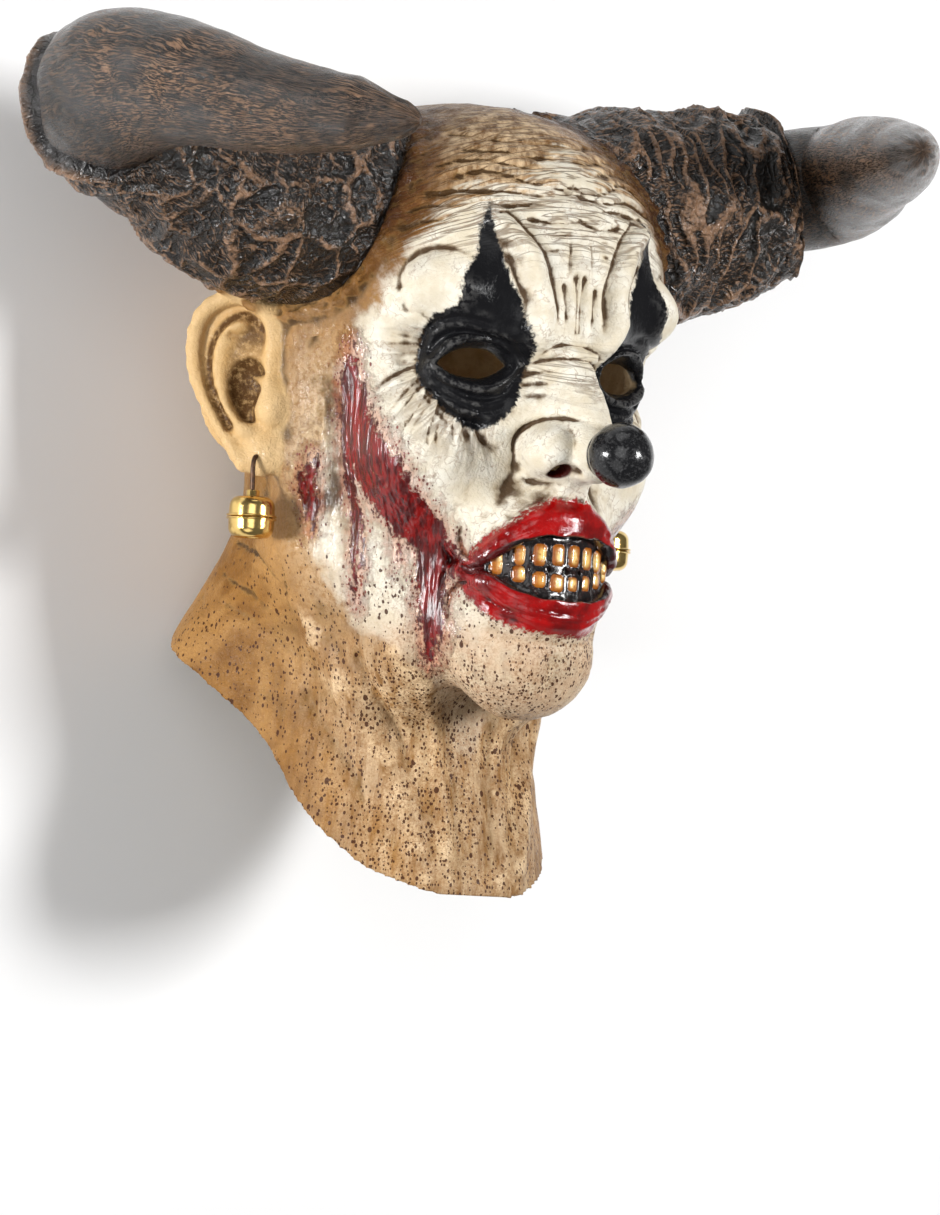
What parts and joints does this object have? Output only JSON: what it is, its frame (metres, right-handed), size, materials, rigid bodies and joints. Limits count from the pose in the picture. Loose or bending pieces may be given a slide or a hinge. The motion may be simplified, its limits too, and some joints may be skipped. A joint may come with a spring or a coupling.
{
  "type": "horned clown mask",
  "caption": "Full-head pull-over clown mask of cast rubber with curled horns, ball nose, bared teeth and a jingle bell on each ear.",
  "frame": {"origin": "middle of the bounding box, on the floor the mask lies on", "axes": "The mask lies on its back: +Z out of the face, +Y to the crown, +X to the mask's own left"},
  "size_m": [0.3888, 0.3174, 0.2524],
  "materials": {
    "skin": "painted matt latex with glossy black, red and brown areas",
    "horn": "black-brown paint, dry-brushed in tan, half gloss",
    "brass": "polished",
    "wire": "brown, dull"
  },
  "bodies": {
    "root": {"mask_skin": "skin", "horn_right": "horn", "horn_left": "horn", "bell_right_upper": "brass", "bell_right_lower": "brass", "bell_left_upper": "brass", "bell_left_lower": "brass", "hook_right": "wire", "hook_left": "wire"}
  },
  "joints": []
}
